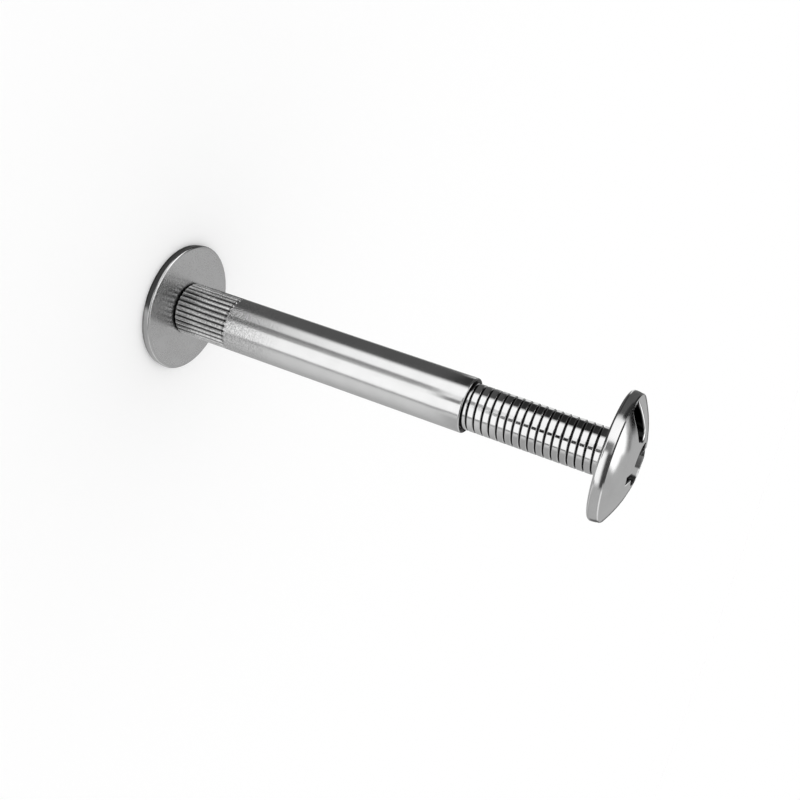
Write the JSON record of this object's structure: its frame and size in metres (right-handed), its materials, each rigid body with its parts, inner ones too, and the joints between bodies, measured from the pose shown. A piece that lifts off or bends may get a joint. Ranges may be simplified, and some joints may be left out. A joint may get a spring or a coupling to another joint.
{
  "type": "furniture connector bolt",
  "caption": "Two-piece connector bolt: a knurled sleeve nut with a flat disc head and a screw with a low domed disc head, driven part of the way in.",
  "frame": {"origin": "centre of the outer face of the sleeve nut's flat head, on which the pair stands", "axes": "+Z along the common axis towards the screw's head, +X along the slot in the screw's head"},
  "size_m": [0.0174, 0.0174, 0.0652],
  "materials": {
    "sleeve_steel": "satin nickel plating with turning marks along the barrel",
    "screw_steel": "satin nickel plating, brighter on the thread crests"
  },
  "bodies": {
    "sleeve_nut": {"sleeve_nut": "sleeve_steel"},
    "screw": {"screw": "screw_steel"}
  },
  "joints": [
    {"name": "screw_travel", "type": "slide", "parent": "sleeve_nut", "child": "screw", "axis": [0, 0, 1], "range_m": [-0.0177, 0.0065]}
  ]
}
